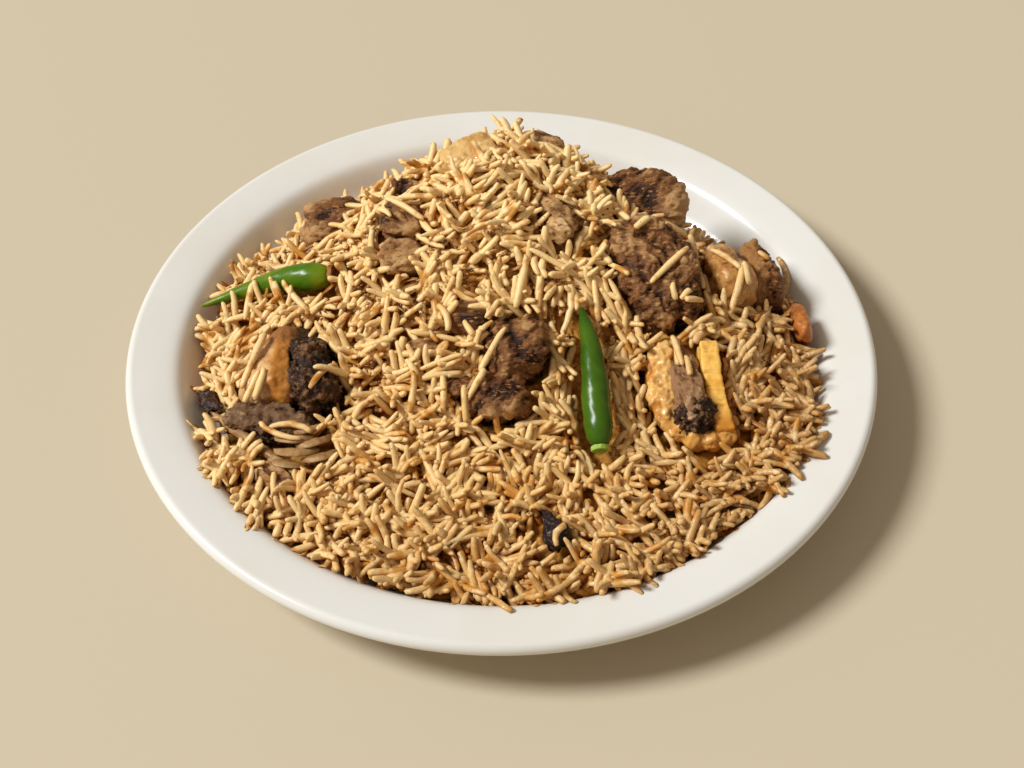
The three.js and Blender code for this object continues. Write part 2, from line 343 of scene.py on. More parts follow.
packed_rice_shade, tree, shader = start_material("packed rice")
speckle = cloudy(tree, place_on(tree), 420.0, 3.0)
wire(tree, shader, Base_Color=coloured(tree, PACKED_SHADE_DARK, (speckle, 0.4, 0.62, PACKED_SHADE_PALE)),
     Roughness=0.7, Specular_IOR_Level=0.15)
finish_piece(core, packed_rice_shade, "rice")

# ---- beef -----------------------------------------------------------------------------------------------
# Chunks of beef stewed until they fall into fibres, then browned: crumbly faces, reddish where torn, wet
# with stock. They lie half sunk in the rice.
FLESH_FINENESS = 0.5             # how finely the flesh is modelled, in millimetres
BEEF_NODES = {                   # which way the fibres lie: turns about X, Y and Z
    "beef_left_back": (0.2, 0.3, 0.4), "beef_left_small": (0.1, 0.8, 1.5), "beef_left_dark": (0.2, 0.4, 2.4),
    "beef_right_back": (0.4, 0.3, 0.9), "beef_folded": (0.3, 0.9, 2.0), "beef_right": (0.2, 1.3, 1.2),
    "beef_centre": (0.4, 0.5, 1.1), "beef_shred": (0, 0.1, 0.8), "beef_centre_left": (0.3, 0.2, 0.1)}
FIBRE_STRETCH = 3.4              # how much longer than wide the relief is along the fibres
DRIFT = 6                        # how far, in millimetres, the line between two tints wanders
JUICE_RADIUS = (1.0, 0.6, 0.35)  # how far light goes into the flesh, in red, green and blue
JUICE_DEPTH = 1.5
FLESH_BUMP = 0.9


def roughened(piece, size, rounding, reliefs, fibre=None):
    """Remakes a solid as a fine skin, rounded, and then raised and sunk by each relief. The skin keeps how
    far it was raised, as 'relief'."""
    apply_modifier(piece, "REMESH", mode="VOXEL", voxel_size=size * MM)
    apply_modifier(piece, "SMOOTH", factor=0.5, iterations=rounding)
    before = points_of(piece)
    normals = np.empty(len(before) * 3, np.float32)
    piece.data.vertices.foreach_get("normal", normals)
    lay_of_fibre = bpy.data.objects.new("lay_of_fibre", None)
    bpy.context.collection.objects.link(lay_of_fibre)
    if fibre:
        lay_of_fibre.rotation_euler = fibre
        lay_of_fibre.scale = (FIBRE_STRETCH, 1, 1)
    bpy.context.view_layer.update()
    for relief in reliefs:
        apply_modifier(
            piece, "DISPLACE", texture_coords="OBJECT", texture_coords_object=lay_of_fibre, **relief)
    bpy.data.objects.remove(lay_of_fibre)
    raised = ((points_of(piece) - before) * normals.reshape(-1, 3)).sum(1) / MM
    kept = piece.data.attributes.new("relief", "FLOAT", "POINT")
    kept.data.foreach_set("value", (raised - np.median(raised)).astype(np.float32))
    piece.data.polygons.foreach_set("use_smooth", np.ones(len(piece.data.polygons), bool))
    return piece


def calc(tree, operation, *values):
    """The result of a sum on sockets and numbers."""
    made = add(tree, "Math", operation=operation)
    for socket, value in zip(made.inputs, values):
        plug(tree, socket, value)
    return made.outputs[0]


def tinted(tree, colour, along, start, end, tint):
    """A colour that turns into a tint from start to end, in millimetres along one way or back."""
    if start < end:
        return coloured(tree, colour, (along, start * MM, end * MM, tint))
    return coloured(tree, tint, (along, end * MM, start * MM, colour))


# Cooked flesh: painted shade in its hollows, its raised crumbs paler in their own colour and with painted
# light, stained in soft patches, with browned specks.
cooked = bpy.data.node_groups.new("cooked_flesh", "ShaderNodeTree")
for way, kind, labels in (
        ("INPUT", "Vector", ("Vector",)), ("INPUT", "Float", ("Relief", "Grain")),
        ("INPUT", "Color", ("Hollow", "Flesh", "Crumb", "Stain", "Speck")),
        ("OUTPUT", "Color", ("Color",)), ("OUTPUT", "Float", ("Wet", "Height"))):
    for label in labels:
        cooked.interface.new_socket(label, in_out=way, socket_type="NodeSocket" + kind)
takes = cooked.nodes.new("NodeGroupInput").outputs
fine = cloudy(cooked, takes["Vector"], takes["Grain"], 5.0, 0.68)
patches, drops, specks = (
    cloudy(cooked, takes["Vector"], *look) for look in ((150.0, 3.0), (520.0, 3.0), (780.0, 2.0)))
level = calc(cooked, "ADD", calc(cooked, "MULTIPLY_ADD", fine, 2.8, -1.4), takes["Relief"])
flesh = coloured(cooked, takes["Flesh"], (patches, 0.47, 0.66, takes["Stain"]))
wire(cooked, cooked.nodes.new("NodeGroupOutput"), Height=fine, Wet=window(cooked, drops, 0.5, 0.6),
     Color=coloured(cooked, takes["Hollow"], (level, -1.1, -0.1, flesh), (level, 0.35, 1.5, takes["Crumb"]),
                    (specks, 0.60, 0.68, takes["Speck"])))


def cooked_material(name, hollow, flesh, crumb, stain, speck=None, grain=900.0, stretch=(1, 1, 1),
                    turn=(0, 0, 0), dry=0.6, wet=0.22, bump=0.5, juicy=0.12, shaded=()):
    """Cooked food with its own colours, painted shade in its hollows and painted light on its paler raised
    crumbs. The grain may be stretched and turned to lie along the fibres.
    shaded blends in another colour by place: an axis, where it starts and ends in mm, and the colour."""
    made, tree, shader = start_material(name)
    place = place_on(tree)
    skin = add(
        tree, "Group", node_tree=cooked, Grain=grain,
        Vector=add(tree, "Mapping", Vector=place, Rotation=turn, Scale=stretch).outputs["Vector"],
        Relief=add(tree, "Attribute", attribute_name="relief").outputs["Fac"],
        Hollow=(*hollow, 1), Flesh=(*flesh, 1), Crumb=(*crumb, 1), Stain=(*stain, 1),
        Speck=(*(speck or flesh), 1)).outputs
    colour = skin["Color"]
    for axis, start, end, tint in shaded:
        along = add(tree, "SeparateXYZ", Vector=place).outputs[axis]
        along = calc(tree, "MULTIPLY_ADD", cloudy(tree, place, 260.0, 3.0), DRIFT * MM, along)
        colour = tinted(tree, colour, along, start + DRIFT / 2, end + DRIFT / 2, (*tint, 1))
    wire(tree, shader, Base_Color=colour, Roughness=scaled(tree, skin["Wet"], dry, wet),
         Normal=raised_by(tree, skin["Height"], bump, FLESH_BUMP), Subsurface_Weight=juicy,
         Subsurface_Radius=JUICE_RADIUS, Subsurface_Scale=JUICE_DEPTH * MM, Specular_IOR_Level=0.32)
    return made


BEEF_LOOK = dict(
    hollow=(0.028, 0.008, 0.001), flesh=(0.230, 0.094, 0.027), crumb=(0.52, 0.29, 0.115),
    stain=(0.135, 0.042, 0.010), speck=(0.48, 0.20, 0.048), grain=820.0, stretch=(0.4, 1.5, 1.5),
    turn=(0.35, 0.5, 1.1), bump=0.85)
stewed_beef = cooked_material("stewed beef", **BEEF_LOOK)
fatty_beef = cooked_material(    # its left side is golden fat
    "beef with fat at its left", shaded=(("X", 94.0, 89.0, (0.38, 0.17, 0.045)),), **BEEF_LOOK)
beef_reliefs = (
    relief_of(11.0, 4.5, 0.25, noise_type="HARD_NOISE", noise_depth=1),
    relief_of(3.2, 2.2, 0.3, noise_type="HARD_NOISE", noise_depth=2), relief_of(0.9, 0.9, noise_depth=3))
for node, fibre in BEEF_NODES.items():
    piece = roughened(copy_of(node, "cooked_" + node), FLESH_FINENESS, 8, beef_reliefs, fibre)
    finish_piece(piece, fatty_beef if node == "beef_right" else stewed_beef, "beef", node)

# ---- pale beef ------------------------------------------------------------------------------------------
# The leaner, greyer pieces, which show cut muscle and a thin skin of fat. They are smoother than the dark
# ones, and the stock has only tinted them.
PALE_NODES = {
    "beef_left_pale": (0, 0.3, 0.4), "beef_back": (0, 0.2, 0.1), "beef_back_middle": (0, 0.4, 2.2),
    "beef_buried": (0, 0.1, 0.3), "gristle_left": (0, 0, -0.7)}
SLICES = {"beef_left_pale": (1.2, 1.1, 0.7), "beef_back_middle": (0.85, 1.1, 0.9)}    # cut flatter

pale_beef = cooked_material(
    "pale beef", hollow=(0.15, 0.055, 0.015), flesh=(0.50, 0.28, 0.110), crumb=(0.74, 0.49, 0.23),
    stain=(0.36, 0.16, 0.045), speck=(0.27, 0.10, 0.030), grain=900.0, stretch=(0.6, 1.3, 1.3),
    turn=(0, 0.3, 0.5), dry=0.75, wet=0.4, bump=0.8)
pale_reliefs = relief_of(6.0, 4.6), relief_of(2.4, 2.1, noise_depth=2), relief_of(0.8, 1.0, noise_depth=3)
for node, fibre in PALE_NODES.items():
    piece = copy_of(node, "cooked_" + node)
    if node in SLICES:
        points = points_of(piece)
        middle = points.mean(0)
        set_points(piece, middle + (points - middle) * SLICES[node])
    roughened(piece, FLESH_FINENESS, 8, pale_reliefs, fibre)
    finish_piece(piece, pale_beef, "pale_beef", node)

# ---- rib piece ------------------------------------------------------------------------------------------
# A wedge of rib meat: a pale fatty face at the left, a ridge, a glossy browned face at its right, and then
# the face that touched the pot, burnt nearly black, brittle and full of pits.
RIDGE = (-76, -16)               # where the wedge is highest, in X and Y
FALL_LEFT = 0.55                 # how steeply the wedge falls away at each side of its ridge
FALL_RIGHT = 0.3
RIDGE_LEAN = 0.1
WEDGE_FINENESS = 0.8
WEDGE_WIDTH = 1.2                # the wedge goes on under the burnt face
CHAR_FINENESS = 0.45
CHAR_WIDTH = 0.88                # how much of the burnt face is left showing beside the browned one

rib_wedge = cooked_material(
    "browned rib fat", hollow=(0.30, 0.12, 0.03), flesh=(0.70, 0.43, 0.19), crumb=(0.82, 0.58, 0.31),
    stain=(0.54, 0.28, 0.095), grain=420.0, dry=0.3, wet=0.1, bump=0.4, juicy=0.3,
    shaded=(("X", -79.5, -75.5, (0.53, 0.21, 0.035)), ("Y", -17.0, -8.0, (0.30, 0.115, 0.030)),
            ("X", -73.0, -69.0, (0.035, 0.014, 0.006))))
wedge = copy_of("rib_fat", "rib_fat_wedge")
apply_modifier(wedge, "REMESH", mode="VOXEL", voxel_size=WEDGE_FINENESS * MM)
points = points_of(wedge)
points[:, 0] = points[:, 0].min() + (points[:, 0] - points[:, 0].min()) * WEDGE_WIDTH
beside = points[:, 0] / MM - RIDGE[0] - RIDGE_LEAN * (points[:, 1] / MM - RIDGE[1])
fallen = np.where(beside < 0, -beside * FALL_LEFT, beside * FALL_RIGHT)
upper = (points[:, 2] - points[:, 2].min()) / np.ptp(points[:, 2])
points[:, 2] -= fallen * upper * MM
set_points(wedge, points)
roughened(wedge, FLESH_FINENESS, 4, (relief_of(5.0, 1.6), relief_of(1.8, 0.7)))
finish_piece(wedge, rib_wedge, "fat", "rib_fat")

charred = cooked_material(
    "charred beef", hollow=(0.004, 0.002, 0.001), flesh=(0.032, 0.012, 0.004), crumb=(0.19, 0.085, 0.028),
    stain=(0.080, 0.027, 0.007), speck=(0.22, 0.095, 0.03), grain=620.0, dry=0.5, wet=0.14, bump=0.9,
    juicy=0.0)
piece = copy_of("rib_char", "burnt_rib_face")
points = points_of(piece)
points[:, 0] = points[:, 0].max() - (points[:, 0].max() - points[:, 0]) * CHAR_WIDTH
set_points(piece, points)
roughened(piece, CHAR_FINENESS, 14, (
    relief_of(7.0, 5.4), relief_of(2.6, -2.2, kind="VORONOI"),
    relief_of(1.2, 1.4, noise_type="HARD_NOISE", noise_depth=3)))
finish_piece(piece, charred, "char", "rib_char")

# Under the wedge lies a slice of greyer, granular rib meat.
rib_meat = cooked_material(
    "rib meat", hollow=(0.030, 0.012, 0.004), flesh=(0.195, 0.100, 0.044), crumb=(0.47, 0.30, 0.155),
    stain=(0.11, 0.046, 0.016), grain=760.0, stretch=(0.6, 1.3, 1.3), turn=(0, 0, -0.2), bump=0.8)
piece = roughened(copy_of("rib_beef", "rib_meat"), FLESH_FINENESS, 5, (
    relief_of(8.0, 3.0), relief_of(2.6, 2.0, noise_depth=2), relief_of(0.9, 1.0, noise_depth=3)))
finish_piece(piece, rib_meat, "beef", "rib_beef")

# The thin edge of the rib bone shows along the bottom of the meat: a tan blade, with painted shade on its
# underside.
RIB_ALONG = np.array([0.737, -0.676])
RIB_THINNED = 0.42
RIB_FINENESS = 0.4
rib_edge = cooked_material(
    "rib bone", hollow=(0.14, 0.055, 0.016), flesh=(0.43, 0.245, 0.092), crumb=(0.66, 0.44, 0.20),
    stain=(0.28, 0.125, 0.038), grain=420.0, dry=0.5, wet=0.25, bump=0.4, juicy=0.0,
    # Painted shade: the blade is painted dark below this height, on its underside.
    shaded=(("Z", 21.6, 20.6, (0.06, 0.024, 0.010)),))
piece = copy_of("rib_bone", "rib_bone_edge")
points = points_of(piece)
from_middle = points[:, :2] - points[:, :2].mean(0)
lengthways = np.outer(from_middle @ RIB_ALONG, RIB_ALONG)
points[:, :2] -= (from_middle - lengthways) * (1 - RIB_THINNED)
set_points(piece, points)
roughened(piece, RIB_FINENESS, 2, (relief_of(5.0, 0.8),))
finish_piece(piece, rib_edge, "bone", "rib_bone")

# ---- fat and gristle ------------------------------------------------------------------------------------
# Soft fat and gristle, see-through at the edges: amber where the stock has soaked in, cream where it has
# not. The surface is smooth, folded and wet. A curved strip of skin stands at the far right.
fat_reliefs = relief_of(8.0, 3.4), relief_of(2.6, 1.0), relief_of(0.9, 0.3)
amber_fat = cooked_material(
    "amber fat", hollow=(0.16, 0.055, 0.011), flesh=(0.54, 0.27, 0.080), crumb=(0.78, 0.51, 0.215),
    stain=(0.33, 0.125, 0.028), speck=(0.70, 0.39, 0.13), grain=360.0, dry=0.34, wet=0.12, bump=0.3,
    juicy=0.5)
cream_fat = cooked_material(
    "cream gristle", hollow=(0.42, 0.21, 0.055), flesh=(0.68, 0.43, 0.16), crumb=(0.82, 0.60, 0.29),
    stain=(0.54, 0.29, 0.075), grain=300.0, dry=0.34, wet=0.14, bump=0.2, juicy=0.25)
orange_skin = cooked_material(
    "browned skin", hollow=(0.16, 0.045, 0.008), flesh=(0.50, 0.17, 0.035), crumb=(0.62, 0.32, 0.10),
    stain=(0.22, 0.07, 0.015), grain=420.0, dry=0.36, wet=0.14, bump=0.3, juicy=0.4)
for node, name, material, slot in (
        ("fat_right", "amber_fat_right", amber_fat, "fat"),
        ("gristle_back", "cream_gristle_back", cream_fat, "fat"),
        ("skin_right", "skin_strip", orange_skin, "bone")):
    finish_piece(roughened(copy_of(node, name), FLESH_FINENESS, 8, fat_reliefs), material, slot, node)

# ---- marrow bone ----------------------------------------------------------------------------------------
# A short length of sawn bone lying open, its top sloping to the front: a bright yellow wall at the right,
# layered across, soft yellow cartilage at the left that goes on round the front, grey fibrous meat between
# them, and a burnt, spongy patch where that meat ends.
BONE_FINENESS = 0.45
WALL_SIZE = (6.4, 34.5, 16.0)
WALL_AT = (70.8, -29.5, 27.0)
WALL_TURN = math.radians(7)
WALL_SLOPE = math.radians(16)    # it rises to the back
WALL_BOW = 1.4
WALL_THINNING = 0.12             # how much lower the wall is at its two ends
LUMPS = (                        # middle of each lump of cartilage, and its size
    ((54.8, -13.5, 32.5), 8.4), ((54.0, -19.5, 32.0), 10.2), ((53.6, -26.0, 30.0), 10.4),
    ((53.4, -32.5, 28.0), 10.8), ((55.0, -38.5, 26.0), 9.4), ((58.6, -43.5, 24.4), 8.4),
    ((63.5, -46.8, 23.4), 8.0), ((68.6, -47.6, 23.6), 7.8), ((73.2, -45.6, 24.4), 7.8))
LUMP_STRETCH = (1.0, 1.25, 1.0)
BONE_MEAT_SHARE = (0.84, 1, 0.80)    # the meat's size against the whole piece's, which it is cut from
BONE_MEAT_ASIDE = 2.2
BURNT_AT = (64.0, -41.6, 29.0)
BURNT_SIZE = (14.0, 13.0, 15.5)
BURNT_FINENESS = 0.4


def join_all(pieces, name):
    """Joins pieces into the first of them."""
    select_only(pieces[0])
    for piece in pieces:
        piece.select_set(True)
    bpy.ops.object.join()
    pieces[0].name = name
    return pieces[0]


wall = start_shape(
    "marrow_bone_wall", bpy.ops.mesh.primitive_cube_add, size=1, location=Vector(WALL_AT) * MM,
    rotation=(WALL_SLOPE, 0, WALL_TURN), scale=Vector(WALL_SIZE) * MM)
bpy.ops.object.transform_apply(location=False, rotation=False, scale=True)
bpy.ops.object.mode_set(mode="EDIT")
bpy.ops.mesh.select_all(action="SELECT")
bpy.ops.mesh.subdivide(number_cuts=7)
bpy.ops.mesh.vertices_smooth(factor=0.5, repeat=1)
bpy.ops.object.mode_set(mode="OBJECT")
points = points_of(wall)
share = points[:, 1] / (WALL_SIZE[1] / 2 * MM)
points[:, 0] += WALL_BOW * (share ** 2 - 0.4) * MM
points[:, 2] *= 1 - WALL_THINNING * share ** 2
set_points(wall, points)
bpy.ops.object.transform_apply(location=True, rotation=True, scale=False)
roughened(wall, BONE_FINENESS, 2, (relief_of(6.0, 1.4), relief_of(1.6, 0.5)))
layered = cooked_material(
    "yellow bone", hollow=(0.52, 0.20, 0.025), flesh=(0.92, 0.54, 0.12), crumb=(0.97, 0.72, 0.30),
    stain=(0.84, 0.42, 0.06), grain=420.0, stretch=(0.5, 2.6, 0.5), turn=(0, 0, -WALL_TURN), dry=0.36,
    wet=0.16, bump=0.35, juicy=0.35,
    shaded=(("Z", 25.0, 17.0, (0.62, 0.22, 0.025)), ("Y", -38.0, -46.0, (0.66, 0.27, 0.035))))
finish_piece(wall, layered, "bone", "marrow_bone")

cartilage = join_all([
    start_shape(
        "lump", bpy.ops.mesh.primitive_ico_sphere_add, subdivisions=3, radius=size / 2 * MM,
        location=Vector(middle) * MM, rotation=(0, 0, WALL_TURN), scale=LUMP_STRETCH)
    for middle, size in LUMPS], "marrow_bone_cartilage")
bpy.ops.object.transform_apply()
roughened(cartilage, BONE_FINENESS, 10, (relief_of(5.0, 3.8), relief_of(2.2, 1.0)))
yellow_lumps = cooked_material(
    "yellow cartilage", hollow=(0.40, 0.15, 0.025), flesh=(0.82, 0.50, 0.17), crumb=(0.93, 0.72, 0.40),
    stain=(0.62, 0.28, 0.05), grain=260.0, dry=0.30, wet=0.10, bump=0.15, juicy=0.5,
    shaded=(("Y", -38.0, -46.0, (0.66, 0.33, 0.075)),))
finish_piece(cartilage, yellow_lumps, "bone")

grey_meat = cooked_material(
    "bone meat", hollow=(0.07, 0.024, 0.007), flesh=(0.33, 0.17, 0.075), crumb=(0.62, 0.41, 0.22),
    stain=(0.20, 0.080, 0.025), grain=760.0, bump=0.7)
piece = copy_of("marrow_beef", "marrow_bone_meat")
points = points_of(piece)
points = points.min(0) + (points - points.min(0)) * BONE_MEAT_SHARE
points[:, 0] += BONE_MEAT_ASIDE * MM
set_points(piece, points)
roughened(piece, BONE_FINENESS, 4, (relief_of(6.0, 2.4), relief_of(2.2, 1.8), relief_of(0.9, 0.9)),
          (0, 0, WALL_TURN + math.pi / 2))
finish_piece(piece, grey_meat, "pale_beef", "marrow_beef")

sponge = start_shape(
    "marrow_bone_burnt", bpy.ops.mesh.primitive_ico_sphere_add, subdivisions=4, radius=0.5,
    location=Vector(BURNT_AT) * MM, rotation=(0, 0, WALL_TURN), scale=Vector(BURNT_SIZE) * MM)
bpy.ops.object.transform_apply()
roughened(sponge, BURNT_FINENESS, 2, (
    relief_of(5.0, 2.4), relief_of(1.9, -2.4, kind="VORONOI"), relief_of(0.8, 1.0)))
finish_piece(sponge, charred, "char")

# ---- onion ----------------------------------------------------------------------------------------------
# A few layers of onion, cooked soft and see-through, curled together in front of the rib bone. Each is a
# thin arched sheet, narrowed at its ends.
ONION_LAYERS = (                 # middle, length, width, turn, how far it bows, how far it arches
    ((-63.0, -44.5, 26.2), 11, 4.0, 20, -2.2, 1.1), ((-68.0, -48.0, 25.2), 13, 5.0, 0, -2.6, 1.3),
    ((-61.5, -49.5, 25.2), 12, 5.0, 22, -2.6, 1.3), ((-67.0, -52.5, 24.0), 15, 5.6, 2, -3.0, 1.4),
    ((-59.0, -54.5, 24.0), 13, 5.2, 20, -2.8, 1.2), ((-70.0, -56.5, 22.8), 13, 5.4, -10, -2.6, 1.2))
ONION_THICKNESS = 0.55
ONION_LEAN = math.radians(-24)   # the layers lean to the front
ONION_DROOP = 1.2                # how far a layer's two ends hang down

soft_onion = cooked_material(
    "soft onion", hollow=(0.20, 0.09, 0.028), flesh=(0.42, 0.25, 0.100), crumb=(0.70, 0.51, 0.27),
    stain=(0.28, 0.135, 0.042), grain=420.0, stretch=(0.4, 1.6, 1.6), dry=0.4, wet=0.15, bump=0.4,
    juicy=0.15)
layers = []
for middle, length, width, turn, bow, arch in ONION_LAYERS:
    layer = start_shape(
        "layer", bpy.ops.mesh.primitive_grid_add, x_subdivisions=18, y_subdivisions=6, size=1)
    points = points_of(layer)
    share, side = points[:, 0] * 2, points[:, 1] * 2
    narrowed = np.sqrt(1.04 - share ** 2)
    points = np.stack([
        share * length / 2, side * narrowed * width / 2 - bow * (share ** 2 - 0.5),
        arch * (1 - side ** 2) - ONION_DROOP * share ** 2], axis=1)
    set_points(layer, points * MM)
    layer.location = Vector(middle) * MM
    layer.rotation_euler = (ONION_LEAN, 0, math.radians(turn))
    apply_modifier(layer, "SOLIDIFY", thickness=ONION_THICKNESS * MM, offset=0)
    apply_modifier(layer, "SUBSURF", levels=1, render_levels=1)
    bpy.ops.object.transform_apply()
    layers.append(layer)
onion = join_all(layers, "onion_layers")
apply_modifier(onion, "DISPLACE", texture_coords="LOCAL", **relief_of(3.0, 0.7))
bpy.ops.object.shade_smooth()
finish_piece(onion, soft_onion, "fat", "onion_left")

# ---- spice pods -----------------------------------------------------------------------------------------
# One big black cardamom pod in front, wrinkled along its length, and two small round pods at the left.
# The big one is drawn in to a point at the end that sticks out of the rice.
POD_ALONG = np.array([0.5, -0.86, -0.1])
POD_FINENESS = 0.4
POD_TIP = 0.12                   # how thick the big pod's pointed end is, against its middle
POD_SWELL = 1.5                  # how fast it gets thicker behind that

black_pod = cooked_material(
    "black pod", hollow=(0.003, 0.002, 0.002), flesh=(0.024, 0.013, 0.011), crumb=(0.10, 0.060, 0.048),
    stain=(0.016, 0.008, 0.006), speck=(0.05, 0.025, 0.02), grain=500.0, dry=0.34, wet=0.12, bump=0.5,
    juicy=0.0)
brown_pod = cooked_material(
    "brown pod", hollow=(0.008, 0.003, 0.002), flesh=(0.060, 0.026, 0.013), crumb=(0.20, 0.11, 0.062),
    stain=(0.035, 0.014, 0.008), grain=500.0, dry=0.5, wet=0.25, bump=0.6, juicy=0.0)
pod_reliefs = relief_of(3.0, 2.2, 0.3, noise_type="HARD_NOISE"), relief_of(1.1, 1.0, noise_type="HARD_NOISE")
for node, name, lie in (
        ("cardamom", "black_cardamom", (0, -0.2, 2.0)), ("spice_left", "dark_pod", (0, 0, 0.2)),
        ("spice_left_low", "dark_pod_low", (0, 0, 0.5))):
    piece = copy_of(node, name)
    if node == "cardamom":
        points = points_of(piece)
        from_middle = points - points.mean(0)
        share = from_middle @ POD_ALONG
        lengthways = np.outer(share, POD_ALONG)
        share = (share - share.min()) / np.ptp(share)
        slim = np.clip(POD_TIP + POD_SWELL * share, 0, 1)[:, None]
        set_points(piece, points - (from_middle - lengthways) * (1 - slim))
    roughened(piece, POD_FINENESS, 3, pod_reliefs, lie)
    finish_piece(piece, black_pod if node == "cardamom" else brown_pod, "pod", node)

# ---- green chilies --------------------------------------------------------------------------------------
# Two whole green chilies laid on the rice: waxy, drawn out to a point. The stalk has come off each, and
# leaves a brown torn cup on the left one and a pale green ring with a pit in it on the one in the middle.
CHILIES = (                      # node, scar's middle, facing, radius and tearing, skin and scar colours
    ("chili_left", (-58.6, 15.7, 38.9), (0.9, -0.18, 0.3), 3.9, 1.5,
     (0.062, 0.150, 0.003, 1), (0.185, 0.230, 0.006, 1), (0.40, 0.155, 0.03), (0.20, 0.07, 0.016)),
    ("chili_centre", (32.1, -55.0, 28.2), (0.1, -0.86, -0.42), 3.0, 0.5,
     (0.024, 0.076, 0.003, 1), (0.058, 0.128, 0.005, 1), (0.33, 0.50, 0.06), (0.62, 0.60, 0.30)))
CHILI_SWELL = 0.3                # what smoothing takes off a chili, and is put back on
CUP_DEPTH = 1.7
CUP_EDGE = 0.25
CUP_STEPS = ((0.9, 0), (0.3, -0.9), (0.5, -0.2))    # width and depth: the ring, its drop, the pit


def waxy_skin(name, dark, light):
    """The shiny skin of a chili, in two greens."""
    made, tree, shader = start_material(name)
    place = place_on(tree)
    cloud, freckle = cloudy(tree, place, 70.0, 2.0), cloudy(tree, place, 900.0, 2.0)
    wire(tree, shader, Base_Color=coloured(tree, dark, (cloud, 0.35, 0.65, light)),
         Roughness=scaled(tree, freckle, 0.16, 0.38), Normal=raised_by(tree, freckle, 0.12, 0.2),
         Specular_IOR_Level=0.2, Coat_Weight=0.05, Coat_Roughness=0.12)
    return made


for node, scar_at, scar_faces, scar_radius, torn, dark, light, ring_colour, pit_colour in CHILIES:
    piece = copy_of(node, "green_" + node)
    apply_modifier(piece, "SUBSURF", levels=2, render_levels=2)
    apply_modifier(piece, "DISPLACE", strength=CHILI_SWELL * MM, mid_level=0.0)
    apply_modifier(piece, "DISPLACE", texture_coords="LOCAL", **relief_of(9.0, 0.9))
    bpy.ops.object.shade_smooth()
    finish_piece(piece, waxy_skin(node + " skin", dark, light), "chili", node)
    cup = start_shape(
        "stalk_scar_" + node, bpy.ops.mesh.primitive_cylinder_add, vertices=20, radius=scar_radius * MM,
        depth=CUP_DEPTH * MM, location=Vector(scar_at) * MM,
        rotation=Vector(scar_faces).normalized().to_track_quat("Z", "Y").to_euler())
    bpy.ops.object.mode_set(mode="EDIT")
    bpy.ops.mesh.select_all(action="DESELECT")
    bpy.ops.object.mode_set(mode="OBJECT")
    for face in cup.data.polygons:
        face.select = face.normal.z > 0.9
    bpy.ops.object.mode_set(mode="EDIT")
    for width, depth in CUP_STEPS:
        bpy.ops.mesh.inset(thickness=width * MM, depth=depth * MM)
    bpy.ops.object.mode_set(mode="OBJECT")
    apply_modifier(cup, "BEVEL", width=CUP_EDGE * MM, segments=2)
    apply_modifier(cup, "SUBSURF", levels=1, render_levels=1)
    apply_modifier(cup, "DISPLACE", texture_coords="LOCAL", **relief_of(1.6, torn, noise_depth=2))
    bpy.ops.object.transform_apply()
    bpy.ops.object.shade_smooth()
    scar = cooked_material(
        node + " scar", hollow=pit_colour, flesh=ring_colour, crumb=[min(1, c * 1.5) for c in ring_colour],
        stain=pit_colour, grain=900.0, bump=0.6)
    finish_piece(cup, scar, "chili")

# ---- rice grains ----------------------------------------------------------------------------------------
# Long thin grains, a little bent, blunt at the ends, lying across each other as they fell. Each is
# dropped on what lies under it and comes to rest on two points, one at either side of its middle.
CELL = 0.5                       # the heap is worked on as a grid of square cells, in millimetres
REACH = 128
BARE = -50.0                     # stands for nothing there
BED_DEPTH = 6.5                  # how far under the heap's top the loose grains begin
GAPS = 4                         # gaps of twice this many cells in the heap's outline and top are closed
LEVELLED = 5                     # cells over which its top is levelled
SLOPE_BAND = 8                   # cells over which its slope is taken
COVER = 0.5                      # a piece covers the rice where it is no deeper than this in the heap
CHOICES = 6                      # places tried for each grain, of which the lowest is taken
CHOICE_SLACK = 1.2               # how much lower, in millimetres, counts as much as luck
GRAIN_LENGTH = (12.0, 19.5)
BROKEN_LENGTH = (4.5, 9.0)
GRAIN_WIDTH = (2.1, 2.8)
GRAIN_FLATNESS = 0.86
SWATH = 13                       # how wide the patches of grains that lie alike are
SWATH_SPREAD = 0.75              # and how far a grain turns away from the others, in radians
STEEPEST = 0.85
SAG = 0.4                        # how much of the gap under its ends a grain sags into
MOST_SAG = 0.14                  # and the most of it, as a share of the length
PRESSED = 1.65                   # how far grains are pressed into those under them
TIPPED_SHARE = 0.27
TIPPED = 0.5
TIPPED_SINK = 0.22
CURLED_SHARE = 0.42
CURL = (0.04, 0.15)              # how far a straight and a curled grain bend, as a share of the length
BLUNTNESS = (0.28, 0.72)         # from blunt to pointed ends
HOOKED = 0.35                    # how far one end turns aside, as a share of the length
HOOK_FROM = 0.1                  # and where it begins to
TAPERED = 0.2
UNEVEN = (0.89, 1.11)            # a grain's width along its length, against its mean width
RIPPLE = 0.05                    # faint swellings along a grain, on top of that, and how close they come
RIPPLE_TURNS = 13
PROUD = 0.9                      # how far a grain's middle may stand over the heap
EDGE_FROM = 4                    # cells inside the heap's outline where grains lie right on the plate
EDGE_TO = 13
EDGE_BAND = 8                    # cells over which grains lap onto a piece of meat
SIDE_ENDS = (-104, 105)          # how far the grains reach at the left and the right, in millimetres
KEPT_CLEAR = (                   # pieces that the photograph shows clear of rice
    "green", "black", "dark", "marrow", "cooked_beef_left_back", "cooked_beef_left_small",
    "cooked_beef_left_dark", "rib_bone")
CLEAR_BAND = 3                   # cells round those pieces that no grain's middle may lie on
CLEAR_DEPTH = 3                  # and they count only where they are no deeper than this in the heap
CLINGING = 0.42                  # how many grains stick to the side of the one before
CLING_GAP = (0.8, 1.1)           # how far apart two such grains lie, in widths
CLING_SLIP = 2.6                 # how far one slips along the other, in millimetres
CLING_TURN = 0.11
CLING_OWN_BEND = 0.3             # how much of its own bend one keeps beside the other's
